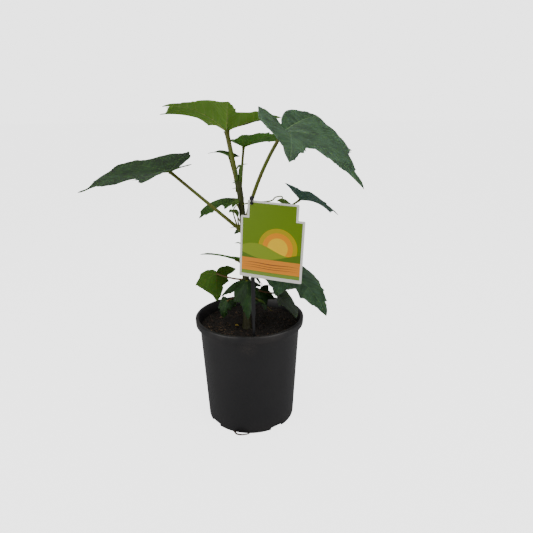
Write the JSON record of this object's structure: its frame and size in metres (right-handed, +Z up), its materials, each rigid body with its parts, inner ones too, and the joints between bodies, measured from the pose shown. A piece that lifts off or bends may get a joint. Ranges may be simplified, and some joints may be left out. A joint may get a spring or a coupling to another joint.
{
  "type": "potted mountain papaya plant",
  "caption": "Young mountain papaya with lobed leaves on long stalks, in a round black nursery pot filled with potting mix, with a hanging plant label.",
  "frame": {"origin": "middle of the pot's flat underside, on the surface that it stands on", "axes": "+Z up; -Y is the front, where the label hangs; +X to the right of a viewer in front"},
  "size_m": [0.3802, 0.2791, 0.4915],
  "materials": {
    "pot_plastic": "black moulded nursery-pot plastic, slightly glossy, dusty at the foot",
    "potting_mix": "dark moist potting mix with bark chips",
    "stem": "green young stem, brownish at the foot",
    "leaf_stalk": "smooth olive-green leaf stalk",
    "leaf_blade": "dark green leaf with a soft gloss and paler veins",
    "leaf_blade_light": "yellow-green leaf, lit through from above",
    "young_leaf": "soft young leaf, still folded",
    "label_card": "printed plastic card with a white border",
    "label_plastic": "black moulded plastic strip"
  },
  "bodies": {
    "root": {"blade_back": "leaf_blade", "blade_back_right": "leaf_blade", "blade_inner_right": "leaf_blade", "blade_left": "leaf_blade", "blade_low_back_left": "leaf_blade", "blade_low_front": "leaf_blade", "blade_low_front_left": "leaf_blade", "blade_low_front_right": "leaf_blade", "blade_low_left": "leaf_blade", "blade_low_right": "leaf_blade", "blade_middle_left": "leaf_blade", "blade_middle_right": "leaf_blade", "blade_right": "leaf_blade", "blade_shoot": "leaf_blade", "blade_top_back": "leaf_blade_light", "blade_top_left": "leaf_blade_light", "blade_top_right": "leaf_blade", "blade_top_small": "leaf_blade_light", "bud_leaf_1": "young_leaf", "bud_leaf_2": "young_leaf", "label_card": "label_card", "label_hook": "label_plastic", "label_strip": "label_plastic", "pot": "pot_plastic", "soil": "potting_mix", "stalk_back": "leaf_stalk", "stalk_back_right": "leaf_stalk", "stalk_inner_right": "leaf_stalk", "stalk_left": "leaf_stalk", "stalk_low_back_left": "leaf_stalk", "stalk_low_front": "leaf_stalk", "stalk_low_front_left": "leaf_stalk", "stalk_low_front_right": "leaf_stalk", "stalk_low_left": "leaf_stalk", "stalk_low_right": "leaf_stalk", "stalk_middle_left": "leaf_stalk", "stalk_middle_right": "leaf_stalk", "stalk_right": "leaf_stalk", "stalk_shoot": "leaf_stalk", "stalk_top_back": "leaf_stalk", "stalk_top_left": "leaf_stalk", "stalk_top_right": "leaf_stalk", "stalk_top_small": "leaf_stalk", "stem": "stem"}
  },
  "joints": []
}
